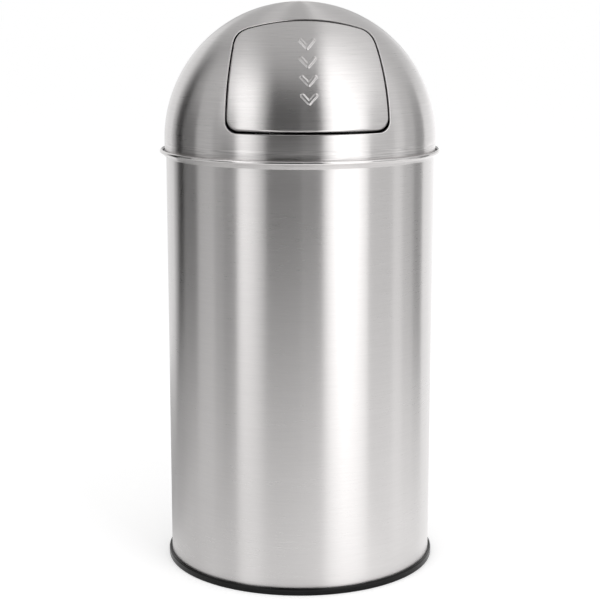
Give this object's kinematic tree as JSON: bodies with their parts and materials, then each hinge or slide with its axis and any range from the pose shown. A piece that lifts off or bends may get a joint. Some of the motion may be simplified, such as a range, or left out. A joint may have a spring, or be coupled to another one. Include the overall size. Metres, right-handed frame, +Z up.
{
  "type": "dome top waste receptacle",
  "caption": "Round steel waste bin with a half-ball lid, a sprung push flap in its front and a lift-out inner bucket with a wire bail.",
  "frame": {"origin": "centre of the foot of the base ring, on the floor", "axes": "+Z up the bin's axis, -Y towards the front, where the flap is, +X to the right as seen from the front"},
  "size_m": [0.3672, 0.3672, 0.74],
  "materials": {
    "brushed_steel": "brushed, with a fine horizontal grain",
    "inner_steel": "mill finish",
    "zinc": "galvanised, spangled",
    "wire_steel": "drawn wire, zinc plated",
    "black_plastic": "moulded, satin",
    "pad_rubber": "moulded, matt"
  },
  "bodies": {
    "body": {"body_shell": "brushed_steel", "base_ring": "black_plastic", "base_plate": "inner_steel"},
    "lid": {"dome_shell": "brushed_steel", "lid_locating_ring": "inner_steel", "hinge_bracket_left": "inner_steel", "hinge_bracket_right": "inner_steel", "hinge_rod": "wire_steel", "rod_cap_left": "wire_steel", "rod_cap_right": "wire_steel", "torsion_spring_left": "wire_steel", "torsion_spring_right": "wire_steel"},
    "flap": {"flap_skin": "brushed_steel", "flap_hinge_plate": "inner_steel", "flap_stop_strip": "inner_steel", "stop_pad_left": "pad_rubber", "stop_pad_right": "pad_rubber"},
    "bucket": {"bucket_shell": "zinc", "bucket_bottom": "zinc", "bucket_ear_left": "zinc", "bucket_ear_right": "zinc"},
    "bail": {"bucket_bail": "wire_steel"}
  },
  "joints": [
    {"name": "lid_lift", "type": "slide", "parent": "body", "child": "lid", "axis": [0, 0, 1], "range_m": [0, 0.92]},
    {"name": "bucket_lift", "type": "slide", "parent": "body", "child": "bucket", "axis": [0, 0, 1], "range_m": [0, 0.552]},
    {"name": "flap_hinge", "type": "hinge", "parent": "lid", "child": "flap", "pos_m": [0, -0.06257, 0.68375], "axis": [1, 0, 0], "range_deg": [0, 60], "stiffness_Nm_per_rad": 0.35, "springref_deg": -68.75, "deforming": ["torsion_spring_left", "torsion_spring_right"]},
    {"name": "bail_hinge", "type": "hinge", "parent": "bucket", "child": "bail", "pos_m": [0, 0, 0.498], "axis": [1, 0, 0], "range_deg": [0, 215]}
  ],
  "couplings": [
    {"joint": "bucket_lift", "follows": "lid_lift", "ratio": 0.6}
  ]
}
